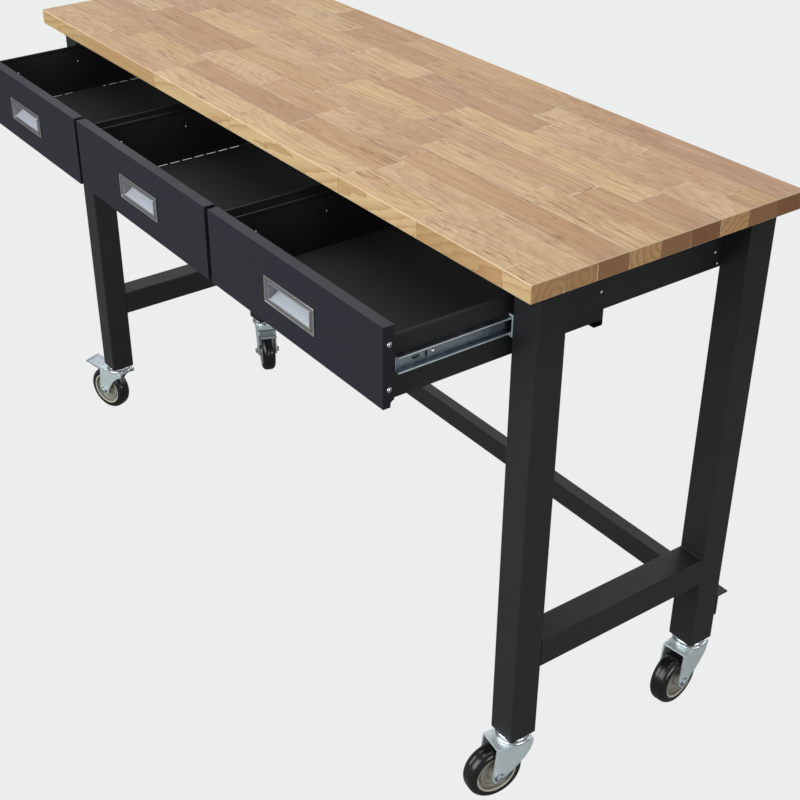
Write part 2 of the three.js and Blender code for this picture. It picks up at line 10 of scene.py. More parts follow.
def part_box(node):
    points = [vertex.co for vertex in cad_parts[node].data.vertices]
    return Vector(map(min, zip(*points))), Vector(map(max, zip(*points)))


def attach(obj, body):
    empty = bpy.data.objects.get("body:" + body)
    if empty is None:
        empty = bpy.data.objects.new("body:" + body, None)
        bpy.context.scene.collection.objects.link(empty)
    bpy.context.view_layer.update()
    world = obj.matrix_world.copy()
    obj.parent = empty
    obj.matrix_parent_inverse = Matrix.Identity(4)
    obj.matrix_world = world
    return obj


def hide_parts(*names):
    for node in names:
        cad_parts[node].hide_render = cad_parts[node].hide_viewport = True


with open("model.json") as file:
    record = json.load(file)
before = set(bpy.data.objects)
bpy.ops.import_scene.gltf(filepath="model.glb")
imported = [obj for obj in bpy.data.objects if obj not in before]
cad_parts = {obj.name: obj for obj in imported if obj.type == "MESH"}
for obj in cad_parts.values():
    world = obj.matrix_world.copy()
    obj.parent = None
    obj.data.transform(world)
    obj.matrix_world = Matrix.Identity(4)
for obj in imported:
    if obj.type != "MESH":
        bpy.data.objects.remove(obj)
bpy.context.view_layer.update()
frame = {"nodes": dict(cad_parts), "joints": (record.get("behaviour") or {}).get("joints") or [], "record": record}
NODES = frame["nodes"]
JOINTS = {j["name"]: j for j in frame["joints"]}
MM = 0.001
ALONG_X, ALONG_Y, ALONG_Z, TO_FRONT = (1, 0, 0), (0, 1, 0), (0, 0, 1), (0, -1, 0)
NEAR_FAR = (("near", 1), ("far", -1))

# Shader constants: where most values of a noise texture lie, the RGBA sockets of a Mix node, bevel samples
NOISE_SPAN = (0.3, 0.7)
MIX_FACTOR, MIX_A, MIX_B, MIX_RESULT = 0, 6, 7, 2
BEVEL_SAMPLES = 6


# Shader helpers
def material(name):
    mat = bpy.data.materials.new(name)
    mat.use_nodes = True
    return mat, mat.node_tree, mat.node_tree.nodes["Principled BSDF"]


def feed(tree, socket, value):
    """Link another node's output to a socket, or set a plain value on it."""
    if isinstance(value, bpy.types.NodeSocket):
        tree.links.new(value, socket)
    else:
        socket.default_value = value


def add(tree, kind, inputs=None, **settings):
    node = tree.nodes.new(kind)
    for key, value in settings.items():
        setattr(node, key, value)
    for key, value in (inputs or {}).items():
        feed(tree, node.inputs[key], value)
    return node


def calc(tree, operation, a, b=0.0):
    return add(tree, "ShaderNodeMath", {0: a, 1: b}, operation=operation).outputs[0]


def vector_calc(tree, operation, a, b):
    return add(tree, "ShaderNodeVectorMath", {0: a, 1: b}, operation=operation).outputs[0]


def spread(tree, value, low, high, from_low=0.0, from_high=1.0):
    keys = {"Value": value, "From Min": from_low, "From Max": from_high, "To Min": low, "To Max": high}
    return add(tree, "ShaderNodeMapRange", keys).outputs["Result"]


def mixed(tree, factor, a, b, blend="MIX"):
    node = add(tree, "ShaderNodeMix", data_type="RGBA", blend_type=blend)
    feed(tree, node.inputs[MIX_FACTOR], factor)
    for index, colour in ((MIX_A, a), (MIX_B, b)):
        linked = isinstance(colour, bpy.types.NodeSocket)
        feed(tree, node.inputs[index], colour if linked else (*colour, 1.0))
    return node.outputs[MIX_RESULT]


def stretched(tree, vector, scale):
    return add(tree, "ShaderNodeMapping", {"Vector": vector, "Scale": scale}).outputs["Vector"]


def object_space(tree, scale=(1, 1, 1)):
    return stretched(tree, add(tree, "ShaderNodeTexCoord").outputs["Object"], scale)


def axes(tree, vector):
    return add(tree, "ShaderNodeSeparateXYZ", {0: vector}).outputs


def face_normal(tree):
    return axes(tree, add(tree, "ShaderNodeNewGeometry").outputs["Normal"])


def noise(tree, vector, scale=1.0, detail=2.0, rough=0.5):
    keys = {"Vector": vector, "Scale": scale, "Detail": detail, "Roughness": rough}
    return add(tree, "ShaderNodeTexNoise", keys).outputs["Fac"]


def surface(tree, bsdf, colour, gloss, rough, height, bump, depth=0.0002, radius=0.0):
    """Colour, a roughness that follows the gloss pattern, and a bump over edges eased by a radius."""
    feed(tree, bsdf.inputs["Base Color"], colour)
    feed(tree, bsdf.inputs["Roughness"], spread(tree, gloss, *rough, *NOISE_SPAN))
    relief = add(tree, "ShaderNodeBump", {"Height": height, "Strength": bump, "Distance": depth})
    if radius:
        eased = add(tree, "ShaderNodeBevel", {"Radius": radius}, samples=BEVEL_SAMPLES)
        feed(tree, relief.inputs["Normal"], eased.outputs["Normal"])
    feed(tree, bsdf.inputs["Normal"], relief.outputs["Normal"])


# Powder coat: fine orange peel and pale specks over a colour and gloss that drift a little.
# A floor above 1 paints light on the faces that look up: their tone is lifted towards a paler copy of the light
# colour, as if lit from above
def powder_coat(name, dark, light, rough, shine=0.42, floor=1.0):
    mat, tree, bsdf = material(name)
    bsdf.inputs["Specular IOR Level"].default_value = shine
    space = object_space(tree)
    drift = noise(tree, space, scale=7.0, detail=3.0)
    peel = noise(tree, space, scale=1400.0)
    speck = spread(tree, noise(tree, space, scale=420.0, detail=1.0), 0.0, 0.5, 0.62, 0.8)
    tone = mixed(tree, drift, dark, light)
    if floor > 1.0:
        # Painted light: the faces that look up are made paler
        painted_top_light = calc(tree, "GREATER_THAN", face_normal(tree)[2], 0.8)
        tone = mixed(tree, painted_top_light, tone, [floor * c for c in light])
    tone = mixed(tree, speck, tone, [1.5 * c for c in light])
    surface(tree, bsdf, tone, drift, rough, peel, bump=0.10, depth=0.00025, radius=0.0009)
    return mat


# Zinc plate: blotches of blue-white, fine drawing lines and uneven gloss
def zinc_plate(name, dark, light, rough, radius=0.0006, metal=1.0, bump=0.02):
    mat, tree, bsdf = material(name)
    bsdf.inputs["Metallic"].default_value = metal
    blotch = noise(tree, object_space(tree), scale=90.0, detail=4.0, rough=0.6)
    lines = noise(tree, object_space(tree, (40.0, 40.0, 900.0)))
    tone = mixed(tree, spread(tree, blotch, 0.0, 1.0, *NOISE_SPAN), dark, light)
    surface(tree, bsdf, tone, lines, rough, lines, bump, radius=radius)
    return mat


# Brushed steel, its lines along X
def brushed_steel(name, dark, light, rough, radius=0.0005, metal=1.0):
    mat, tree, bsdf = material(name)
    bsdf.inputs["Metallic"].default_value = metal
    lines = noise(tree, object_space(tree, (8.0, 1600.0, 1600.0)), detail=3.0)
    tone = mixed(tree, noise(tree, object_space(tree), scale=30.0), dark, light)
    surface(tree, bsdf, tone, lines, rough, lines, bump=0.02, radius=radius)
    return mat


# Moulded rubber or plastic with a faint texture
def moulded(name, dark, light, rough):
    mat, tree, bsdf = material(name)
    space = object_space(tree)
    cloud = noise(tree, space, scale=35.0, detail=3.0)
    grain = noise(tree, space, scale=1040.0)
    surface(tree, bsdf, mixed(tree, cloud, dark, light), cloud, rough, grain, bump=0.06)
    return mat


# Butcher block: staves along X cut into blocks, each from its own log, with rings, pores, knots and tone
STAVES = 9
TOP_LOW, TOP_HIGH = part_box("worktop")
STAVE_WIDTH = (TOP_HIGH.y - TOP_LOW.y) / STAVES
BLOCK_LENGTH = 0.27
BLOCK_WANDER = 0.8  # how far, in blocks, the joints stray from an even spacing
STAVE_STAGGER = 5.0  # up to how many blocks one stave is shifted against the next
STAVE_SEED, BLOCK_SEED = 7.3, 3.7
LOG_SHIFT = (9.0, 9.0, 9.0)  # how far apart, in metres, the blocks' grain is taken
RINGS = 5.0  # growth rings in a stave's width
RING_SHARPNESS = 2.2
SAWN = 0.75  # a normal that leans this far to X or Y belongs to an end or a long edge
DARKEST, PALEST = (0.420, 0.245, 0.130), (0.640, 0.462, 0.262)
MID_TONES = ((0.2, (0.480, 0.300, 0.155)), (0.5, (0.560, 0.381, 0.208)), (0.8, (0.605, 0.427, 0.235)))
HUES = {
    "pinkish": (0.520, 0.305, 0.185),
    "cool": (0.99, 0.975, 1.01),
    "golden": (1.02, 1.01, 0.89),
    "pale_streak": (0.78, 0.60, 0.39),
    "dark_streak": (0.34, 0.175, 0.080),
    "shade": (0.40, 0.235, 0.125),
    "end_dark": (0.22, 0.090, 0.030),
    "end_light": (0.62, 0.36, 0.145),
    "edge_dark": (0.425, 0.262, 0.102),
    "edge_light": (0.590, 0.425, 0.215),
    "ring": (0.33, 0.150, 0.052),
    "pore": (0.23, 0.110, 0.043),
    "knot": (0.13, 0.040, 0.016),
    "glue_dark": (0.20, 0.095, 0.038),
    # the pale seam line is a painted glint
    "seam_glint": (0.82, 0.69, 0.52),
    # painted highlight along the arrises
    "arris_highlight": (0.80, 0.66, 0.46),
}


def butcher_block():
    mat, tree, bsdf = material("butcher_block")
    bsdf.inputs["Specular IOR Level"].default_value = 0.45

    def plus(a, b):
        return calc(tree, "ADD", a, b)

    def minus(a, b):
        return calc(tree, "SUBTRACT", a, b)

    def times(a, b):
        return calc(tree, "MULTIPLY", a, b)

    def fract(value):
        return calc(tree, "FRACT", value)

    def toned(tone, factor, hue):
        return mixed(tree, factor, tone, HUES[hue])

    def between(value, low, high, dark, light):
        return mixed(tree, spread(tree, value, 0.0, 1.0, low, high), HUES[dark], HUES[light])

    place = add(tree, "ShaderNodeTexCoord").outputs["Object"]
    x, y, z = axes(tree, place)
    lean_x, lean_y, lean_z = [calc(tree, "ABSOLUTE", part) for part in face_normal(tree)]
    is_end = calc(tree, "GREATER_THAN", lean_x, SAWN)
    is_front = calc(tree, "GREATER_THAN", lean_y, SAWN)
    # Which stave, and which block along it; the dice give each block its own numbers
    across = calc(tree, "DIVIDE", minus(y, TOP_LOW.y), STAVE_WIDTH)
    stave = calc(tree, "FLOOR", across)
    stave_hash = add(tree, "ShaderNodeTexWhiteNoise", {"W": stave}, noise_dimensions="1D").outputs["Value"]
    along = calc(tree, "DIVIDE", x, BLOCK_LENGTH)
    sway = add(tree, "ShaderNodeCombineXYZ", {0: along, 1: times(stave, STAVE_SEED)}).outputs[0]
    wander = spread(tree, noise(tree, sway, scale=0.55, detail=0.0), -BLOCK_WANDER, BLOCK_WANDER)
    along = plus(plus(along, wander), times(stave_hash, STAVE_STAGGER))
    block = calc(tree, "FLOOR", along)
    key = add(tree, "ShaderNodeCombineXYZ", {0: block, 1: stave, 2: BLOCK_SEED}).outputs[0]
    dice = add(tree, "ShaderNodeTexWhiteNoise", {"Vector": key}, noise_dimensions="3D").outputs
    pick = dice["Value"]
    pick_a, pick_b, pick_c = add(tree, "ShaderNodeSeparateColor", {0: dice["Color"]}).outputs
    # Grain lines that shift from block to block
    moved = vector_calc(tree, "ADD", place, vector_calc(tree, "MULTIPLY", dice["Color"], LOG_SHIFT))
    pores = noise(tree, stretched(tree, moved, (26.0, 560.0, 560.0)), rough=0.6)
    streaks = noise(tree, stretched(tree, moved, (7.0, 190.0, 190.0)), detail=3.0, rough=0.6)
    figure = noise(tree, stretched(tree, moved, (4.0, 34.0, 34.0)), detail=4.0, rough=0.62)
    mottle = noise(tree, moved, scale=13.0, detail=3.0, rough=0.55)
    # Knots here and there, with the rings bent round them
    jitter = add(tree, "ShaderNodeTexNoise", {"Vector": place, "Scale": 70.0}).outputs["Color"]
    jitter = vector_calc(tree, "MULTIPLY", jitter, (0.022, 0.012, 0.012))
    strewn = stretched(tree, vector_calc(tree, "ADD", place, jitter), (4.4, 7.0, 7.0))
    knots = add(tree, "ShaderNodeTexVoronoi", {"Vector": strewn, "Scale": 1.0}).outputs["Distance"]
    bend = calc(tree, "POWER", spread(tree, knots, 1.0, 0.0, 0.0, 0.24), 2.0)
    knot = spread(tree, knots, 0.9, 0.0, 0.014, 0.062)
    # Growth rings round a leaning pith: arches on the flats, arcs on the sawn ends
    lean = times(minus(fract(along), 0.5), spread(tree, pick_c, -1.9, 1.9))
    ring_y = minus(fract(across), spread(tree, pick_a, -0.3, 1.3))
    ring_z = calc(tree, "DIVIDE", minus(z, TOP_LOW.z), STAVE_WIDTH)
    ring_z = plus(minus(ring_z, spread(tree, pick_b, -0.9, 1.0)), lean)
    squares = plus(calc(tree, "POWER", ring_y, 2.0), calc(tree, "POWER", ring_z, 2.0))
    reach = plus(times(calc(tree, "SQRT", squares), RINGS), times(figure, 1.9))
    reach = plus(reach, times(bend, 1.6))
    rings = calc(tree, "POWER", fract(reach), RING_SHARPNESS)
    # Tone of each block, from straw to pinkish brown, with streaks and a shade along some blocks
    ramp = add(tree, "ShaderNodeValToRGB", {0: pick})
    stops = ramp.color_ramp.elements
    stops[0].color, stops[1].color = (*DARKEST, 1), (*PALEST, 1)
    for at, colour in MID_TONES:
        stops.new(at).color = (*colour, 1)
    tone = toned(ramp.outputs[0], spread(tree, mottle, 0.0, 0.62, 0.42, 0.72), "pinkish")
    tone = mixed(tree, 1.0, tone, mixed(tree, pick_b, HUES["cool"], HUES["golden"]), "MULTIPLY")
    tone = toned(tone, spread(tree, streaks, 0.0, 0.48, 0.44, 0.24), "pale_streak")
    tone = toned(tone, spread(tree, streaks, 0.0, 0.42, 0.51, 0.74), "dark_streak")
    tone = toned(tone, times(fract(along), spread(tree, pick_c, 0.0, 0.55, 0.55, 0.80)), "shade")
    # Sawn ends and the long edges have their own deeper tones
    end_tone = between(pick, 0.15, 0.75, "end_dark", "end_light")
    tone = mixed(tree, times(is_end, 0.9), tone, end_tone)
    edge_tone = between(pick_b, 0.1, 0.6, "edge_dark", "edge_light")
    tone = mixed(tree, times(is_front, 0.9), tone, edge_tone)
    # Rings, stronger on ends and edges, then pores in patches and knots
    depth = plus(times(is_end, 0.42), times(is_front, 0.30))
    depth = plus(depth, spread(tree, pick_a, 0.08, 0.34))
    tone = toned(tone, times(rings, depth), "ring")
    dash = times(spread(tree, pores, 0.0, 1.0, 0.54, 0.64), minus(1.0, is_end))
    dash = times(dash, spread(tree, figure, 0.05, 1.0, 0.44, 0.60))
    dash = times(dash, minus(1.0, times(is_front, 0.7)))
    tone = toned(tone, dash, "pore")
    tone = toned(tone, knot, "knot")
    # Seam lines: dark glue lines, and where the figure runs high a pale line that is a painted glint. The long
    # edges lie on a seam themselves, so the rip seams stop there
    stave_edge = calc(tree, "ABSOLUTE", minus(fract(across), 0.5))
    block_edge = calc(tree, "ABSOLUTE", minus(fract(along), 0.5))
    butt = times(spread(tree, block_edge, 0.0, 0.85, 0.4960, 0.4992), minus(1.0, is_end))
    rip = times(spread(tree, stave_edge, 0.0, 0.85, 0.484, 0.497), minus(1.0, is_front))
    seam = calc(tree, "MAXIMUM", rip, butt)
    tone = mixed(tree, seam, tone, between(figure, 0.46, 0.54, "glue_dark", "seam_glint"))
    # Painted highlight along the arrises: faces that lean between flat and upright are made paler than the faces
    # they join
    arris_highlight = times(calc(tree, "GREATER_THAN", lean_z, 0.2), calc(tree, "LESS_THAN", lean_z, 0.93))
    tone = toned(tone, times(arris_highlight, 0.45), "arris_highlight")
    height = minus(spread(tree, pores, 0.0, -0.6, 0.55, 0.72), seam)
    surface(tree, bsdf, tone, streaks, (0.48, 0.64), height, bump=0.16, depth=0.0004, radius=0.0012)
    return mat


# Each look: name, darker and lighter colour, roughness from and to
WOOD = butcher_block()
FRAME_PAINT = powder_coat(
    "frame_powder_coat", (0.0150, 0.0156, 0.0160), (0.0200, 0.0207, 0.0213), (0.36, 0.46), shine=0.25)
DRAWER_PAINT = powder_coat(
    "drawer_powder_coat", (0.0120, 0.0132, 0.0190), (0.0150, 0.0165, 0.0240), (0.38, 0.50), shine=0.20)
# The drawer box's faces that look up get painted light, lifted by the floor of 1.45
BOX_PAINT = powder_coat(
    "drawer_box_powder_coat", (0.022, 0.0225, 0.0225), (0.031, 0.0315, 0.0315), (0.40, 0.52),
    shine=0.12, floor=1.45)
PULL_STEEL = brushed_steel(
    "pull_satin_steel", (0.26, 0.26, 0.265), (0.36, 0.362, 0.366), (0.30, 0.44))
SLIDE_ZINC = zinc_plate("slide_zinc", (0.25, 0.30, 0.36), (0.38, 0.44, 0.51), (0.26, 0.40))
# Also paints a highlight on the slides' lips, noses and cabinet ends
CASTER_ZINC_AND_SLIDE_HIGHLIGHT = zinc_plate(
    "caster_zinc", (0.70, 0.81, 0.82), (0.82, 0.92, 0.93), (0.32, 0.48), radius=0.0018, metal=0.65)
PEDAL_ZINC = zinc_plate("pedal_zinc", (0.44, 0.48, 0.52), (0.58, 0.62, 0.66), (0.36, 0.50), metal=0.9)
RIM_PLASTIC = moulded("rim_nylon", (0.225, 0.215, 0.175), (0.335, 0.32, 0.265), (0.40, 0.52))
RIM_PALE = moulded("rim_pale_nylon", (0.44, 0.425, 0.36), (0.58, 0.56, 0.48), (0.40, 0.52))
TYRE_RUBBER = moulded("tyre_rubber", (0.005, 0.005, 0.005), (0.010, 0.010, 0.010), (0.14, 0.26))
SCREW_STEEL = zinc_plate("screw_steel", (0.66, 0.68, 0.70), (0.84, 0.86, 0.87), (0.20, 0.34), radius=0.0003)
RACE_CHROME = zinc_plate(
    "race_bright_zinc", (0.62, 0.66, 0.69), (0.80, 0.83, 0.85), (0.24, 0.34), radius=0.0, bump=0.004)
HEM_PAINT = powder_coat("hem_powder_coat", (0.018, 0.018, 0.019), (0.026, 0.026, 0.027), (0.28, 0.38))
# Paler steel that paints a highlight on the edges of the pull
PULL_EDGE_HIGHLIGHT = brushed_steel(
    "pull_bright_edge", (0.62, 0.61, 0.59), (0.76, 0.75, 0.73), (0.22, 0.34), radius=0.0)
# Paler copy of the pull's steel that paints light on the floor of the pull's cup
CUP_PAINTED_LIGHT = brushed_steel(
    "pull_cup_satin", (0.72, 0.77, 0.85), (0.80, 0.85, 0.93), (0.34, 0.46), radius=0.0, metal=0.45)
# Black for painted shade: screw recesses, punched openings and the gap between the caster races
PAINTED_SHADE_BLACK = moulded("painted_shade_black", (0.008, 0.008, 0.009), (0.014, 0.014, 0.015), (0.30, 0.45))

LOOKS = {
    "wood": WOOD,
    "frame_paint": FRAME_PAINT,
    "drawer_paint": DRAWER_PAINT,
    "pull_steel": PULL_STEEL,
    "slide_zinc": SLIDE_ZINC,
    "caster_zinc": CASTER_ZINC_AND_SLIDE_HIGHLIGHT,
    "pedal_steel": PEDAL_ZINC,
    "wheel_plastic": RIM_PLASTIC,
    "tyre": TYRE_RUBBER,
}
OWN_LOOKS = (("drawer_box_", BOX_PAINT), ("axle_bolt_", SCREW_STEEL))
for sub in frame["record"]["subparts"]:
    look = LOOKS[sub["material_slot"]]
    for start, own in OWN_LOOKS:
        look = own if sub["node"].startswith(start) else look
    for place in NODES[sub["node"]].material_slots:
        place.material = look


# Mesh helpers for the small pieces. Vertices closer than a merge distance become one
MERGE_FINE, MERGE_LATHE = 1e-9, 1e-6
SUNK = 0.0002  # how far a screw or a punched plate reaches into the face under it
CORNER_STEPS = 4


def piece(name, verts, faces, mat, body, sharp=40, merge=MERGE_FINE):
    bm = bmesh.new()
    made = [bm.verts.new(v) for v in verts]
    for face in faces:
        bm.faces.new([made[i] for i in face])
    bmesh.ops.remove_doubles(bm, verts=bm.verts, dist=merge)
    bmesh.ops.recalc_face_normals(bm, faces=bm.faces)
    mesh = bpy.data.meshes.new(name)
    bm.to_mesh(mesh)
    bm.free()
    mesh.shade_smooth()
    mesh.set_sharp_from_angle(angle=math.radians(sharp))
    mesh.materials.append(mat)
    obj = bpy.data.objects.new(name, mesh)
    bpy.context.scene.collection.objects.link(obj)
    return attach(obj, body)


def mm(points, across=1, up=1):
    """Points given in millimetres, mirrored where across or up is -1."""
    return [(across * u * MM, up * v * MM) for u, v in points]


def facing(at, axis, up=ALONG_Z):
    """Frame whose local Z is axis, at a point."""
    z = Vector(axis).normalized()
    x = Vector(up).cross(z)
    x = x.normalized() if x.length > 1e-6 else Vector(ALONG_X)
    y = z.cross(x)
    return Matrix.Translation(at) @ Matrix((x, y, z)).transposed().to_4x4()


def lathe(name, profile, steps, place, mat, body, closed=False, sharp=40):
    """A profile of radii and heights turned about the local Z of place."""
    verts, faces = [], []
    count = len(profile)
    for step in range(steps):
        turn = 2 * math.pi * step / steps
        for radius, height in profile:
            verts.append(place @ Vector((radius * math.cos(turn), radius * math.sin(turn), height)))
    for step in range(steps):
        here, there = step * count, ((step + 1) % steps) * count
        for k in range(count if closed else count - 1):
            n = (k + 1) % count
            ring = [here + k, there + k, there + n, here + n]
            if profile[k][0] == 0:
                ring = [here + k, there + n, here + n]
            elif profile[n][0] == 0:
                ring = [here + k, there + k, here + n]
            faces.append(ring)
    return piece(name, verts, faces, mat, body, sharp, MERGE_LATHE)


def prism(outline, low, high, place):
    """Vertices and faces of a flat outline drawn out along the local Z of place."""
    count = len(outline)
    verts = [place @ Vector((u, v, w)) for w in (low, high) for u, v in outline]
    sides = [[k, (k + 1) % count, count + (k + 1) % count, count + k] for k in range(count)]
    return verts, [list(range(count))[::-1], list(range(count, 2 * count)), *sides]


def drawn_out(name, outline, low, high, place, mat, body):
    piece(name, *prism(outline, low, high, place), mat, body)


def joined(*shapes):
    verts, faces = [], []
    for more, rings in shapes:
        faces += [[i + len(verts) for i in ring] for ring in rings]
        verts += more
    return verts, faces


def arc(centre, radius, start, end, steps=8):
    points = []
    for k in range(steps + 1):
        a = math.radians(start + (end - start) * k / steps)
        points.append((centre[0] + radius * math.cos(a), centre[1] + radius * math.sin(a)))
    return points


def rounded(width, height, radius):
    """A rectangle with round corners."""
    points = []
    for sx, sy, start in ((1, -1, -90), (1, 1, 0), (-1, 1, 90), (-1, -1, 180)):
        centre = (sx * (width / 2 - radius), sy * (height / 2 - radius))
        points += arc(centre, radius, start, start + 90, CORNER_STEPS)
    return points


# Pan-head screw with a cross recess, the recess a dark raised cross of painted shade. The dome is in shares of its
# radius and its rise
SCREW_DOME = ((1, 0.15), (0.93, 0.5), (0.7, 0.85), (0.4, 1), (0, 1))
SCREW_STEPS = 20


def screw(name, at, axis, radius, body):
    place = facing(at, axis)
    rise = 0.55 * radius
    dome = [(radius, -SUNK)] + [(r * radius, h * rise) for r, h in SCREW_DOME]
    lathe(name, dome, SCREW_STEPS, place, SCREW_STEEL, body)
    arm, thin, root, lift = 0.52 * radius, 0.11 * radius, 0.6 * rise, rise + 0.00004
    # Painted shade: the cross recess as two dark bars on the dome
    bars = []
    for a, b in ((arm, thin), (thin, arm)):
        bars.append(prism([(-a, -b), (a, -b), (a, b), (-a, b)], root, lift, place))
    piece(name + "_recess", *joined(*bars), PAINTED_SHADE_BLACK, body)


# Punched hole or slot, shown as a thin dark plate of painted shade where the opening would show shadow
def punched(name, at, axis, width, height, body):
    outline = rounded(width, height, 0.48 * min(width, height))
    drawn_out(name, outline, -SUNK, 0.00008, facing(at, axis), PAINTED_SHADE_BLACK, body)


# Row of weld ripples between two points of the frame
WELD_RINGS, WELD_SPOKES = 5, 8
WELD_PITCH, WELD_FLATNESS = 0.85, 0.75  # in shares of a ripple's radius
WELD_UNEVEN, WELD_BEAT = 0.18, 2.4  # how much the ripples differ in size, and how fast that changes


def weld(name, start, end, radius):
    start, end = Vector(start), Vector(end)
    along = (end - start).normalized()
    count = max(3, int((end - start).length / (WELD_PITCH * radius)))
    ripples = []
    for k in range(count):
        place = facing(start.lerp(end, k / (count - 1)), along)
        size = radius * (1.0 + WELD_UNEVEN * math.sin(k * WELD_BEAT))
        verts, faces = [], []
        for i in range(WELD_RINGS + 1):
            polar = math.pi * i / WELD_RINGS
            r, h = size * math.sin(polar), WELD_FLATNESS * size * math.cos(polar)
            for j in range(WELD_SPOKES):
                turn = 2 * math.pi * j / WELD_SPOKES
                verts.append(place @ Vector((r * math.cos(turn), r * math.sin(turn), h)))
        # The faces round the two poles, which neighbouring ripples cover, are left out
        for i in range(1, WELD_RINGS - 1):
            here, there = i * WELD_SPOKES, (i + 1) * WELD_SPOKES
            for j in range(WELD_SPOKES):
                n = (j + 1) % WELD_SPOKES
                faces.append([here + j, here + n, there + n, there + j])
        ripples.append((verts, faces))
    piece(name, *joined(*ripples), FRAME_PAINT, "frame", sharp=180)


# Casters: smooth tyres, rims, stems and races in place of the faceted ones.
# The lists are profiles of radius and height in mm, the heights from the middle of the wheel
CORNERS = ("front_left", "front_right", "rear_left", "rear_right")
RIM_HALF = (
    (4.3, 19.7), (10.2, 19.7), (11.4, 19.1), (12, 17.9), (12, 9), (13, 7.4), (14.5, 7),
    (23.6, 7), (24.4, 7.6), (25.2, 10.4), (26, 11), (27.4, 11), (28.1, 10.4), (28.9, 7.5),
    (29.6, 7), (32.2, 7), (32.9, 7.6), (33.7, 13.8), (34.5, 14.6), (36.2, 14.6), (36.9, 14),
)
RIM_EDGE = (
    (33.9, 13.6), (34.6, 14.3), (36.1, 14.3), (36.6, 14),
    (37.05, 14.1), (36.25, 14.85), (34.35, 14.85), (33.45, 13.9),
)
WASHER = ((4.4, 0), (8.6, 0), (8.6, 0.9), (8.2, 1.2), (4.4, 1.2))
WASHER_SEAT = 23.02 * MM
WHEEL_STEPS, STEM_STEPS, GAP_SHADE_STEPS, WASHER_STEPS = 80, 64, 48, 28


def tyre_profile(outer):
    """Full round shoulders, a flat tread and one fine moulding line round it."""
    side, shoulder, inner = 16 * MM, 11 * MM, outer - 12.7 * MM
    bead, line, line_wide, line_narrow = 1.2 * MM, 0.12 * MM, 0.6 * MM, 0.3 * MM
    edge = [(inner, -side), (inner + bead, -side)]
    edge += arc((outer - shoulder, shoulder - side), shoulder, -90, -6)
    edge += [(outer, -line_wide), (outer - line, -line_narrow)]
    edge += [(outer - line, line_narrow), (outer, line_wide)]
    edge += arc((outer - shoulder, side - shoulder), shoulder, 6, 90)
    return edge + [(inner + bead, side), (inner, side)]


def caster(corner):
    body, wheel = "caster_" + corner, "wheel_" + corner
    hub_joint = JOINTS["wheel_%s_spin" % corner]
    axis = Vector(hub_joint["axis"])
    centre = Vector(hub_joint["pos_m"])
    spin = facing(centre, axis)
    low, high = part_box("tyre_" + corner)
    edge = tyre_profile((high.z - low.z) / 2)
    tyre = lathe("tyre_smooth_" + corner, edge, WHEEL_STEPS, spin, TYRE_RUBBER, wheel, closed=True, sharp=50)
    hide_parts("tyre_" + corner)
    # Rim: hub, web, inner ring, groove and lip, with eased edges
    ring = mm(RIM_HALF, up=-1) + mm(RIM_HALF[::-1])
    rim = lathe("rim_smooth_" + corner, ring, WHEEL_STEPS, spin, RIM_PLASTIC, wheel, closed=True, sharp=32)
    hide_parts("wheel_rim_" + corner)
    # Pale band along each lip of the rim
    for name, way in NEAR_FAR:
        band = mm(RIM_EDGE[::way], up=way)
        name = "rim_edge_%s_%s" % (name, corner)
        lathe(name, band, WHEEL_STEPS, spin, RIM_PALE, wheel, closed=True, sharp=60)
    # Stem with its kingpin's head and its upper race
    low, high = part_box("caster_stem_" + corner)
    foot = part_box("leg_" + corner)[0].z
    post = Matrix.Translation(((low.x + high.x) / 2, (low.y + high.y) / 2, 0))
    race, tall = (high.x - low.x) / 2, 7 * MM
    profile = [(0, low.z)]
    for radius, rise in ((7, 0), (9, 2), (9, 4), (5, 4)):
        profile.append((radius * MM, low.z + rise * MM))
    profile.append((5 * MM, foot - tall))
    profile += arc((race - tall / 2, foot - tall / 2), tall / 2, -90, 90, 10)
    profile += [(6 * MM, foot), (6 * MM, high.z), (0, high.z)]
    stem = lathe("stem_smooth_" + corner, profile, STEM_STEPS, post, RACE_CHROME, "frame")
    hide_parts("caster_stem_" + corner)
    # Bright lower race round the fork's dish, and a dark ring of painted shade in the gap between the races
    top = foot - tall - 0.3 * MM
    band = arc((26.2 * MM, top - 2.5 * MM), 2.75 * MM, -100, 90, 10)
    for radius, rise in ((21, 0.2), (19, -0.6), (24, -5.2)):
        band.append((radius * MM, top + rise * MM))
    lathe("race_ring_" + corner, band, STEM_STEPS, post, RACE_CHROME, body, closed=True)
    # Painted shade: a dark ring filling the gap between the races
    inner, shade_radius, under, over = 19 * MM, race - 1.4 * MM, top - 0.9 * MM, top + 1.2 * MM
    band = [(inner, under), (shade_radius, under), (shade_radius, over), (inner, over)]
    lathe("race_gap_shade_" + corner, band, GAP_SHADE_STEPS, post, PAINTED_SHADE_BLACK, body, closed=True)
    # Washers under the axle's head and nut
    for name, way in NEAR_FAR:
        seat = facing(centre + axis * way * WASHER_SEAT, axis * way)
        name = "axle_washer_%s_%s" % (name, corner)
        lathe(name, mm(WASHER), WASHER_STEPS, seat, SLIDE_ZINC, body, closed=True)


for corner in CORNERS:
    caster(corner)


# Slides: screws, punched slots of painted shade, a rib and lips with a painted highlight on the drawer members,
# ends with a painted highlight on the cabinet members. The lists are outlines in mm, across and up
def c_shape(back, tip, web, inside, outside):
    lower = [(back, -outside), (tip, -outside), (tip, -inside), (web, -inside)]
    return lower + [(u, -v) for u, v in reversed(lower)]


SLIDE_RIB = ((-1.1, 0), (-0.6, 0.55), (0.6, 0.55), (1.1, 0))
SLIDE_LIP = ((0, -1.1), (0.45, -0.95), (0.8, -0.4), (0.8, 0.4), (0.45, 0.95), (0, 1.1))
SLIDE_NOSE = c_shape(0.1, 8.4, 2, 10.6, 12.4)
SLIDE_END = c_shape(0.3, 9.2, 2.7, 13.6, 17.2)
SLIDE_WALL = 1.2 * MM
BALL_RADIUS, BALL_STEPS = 1.3 * MM, 14


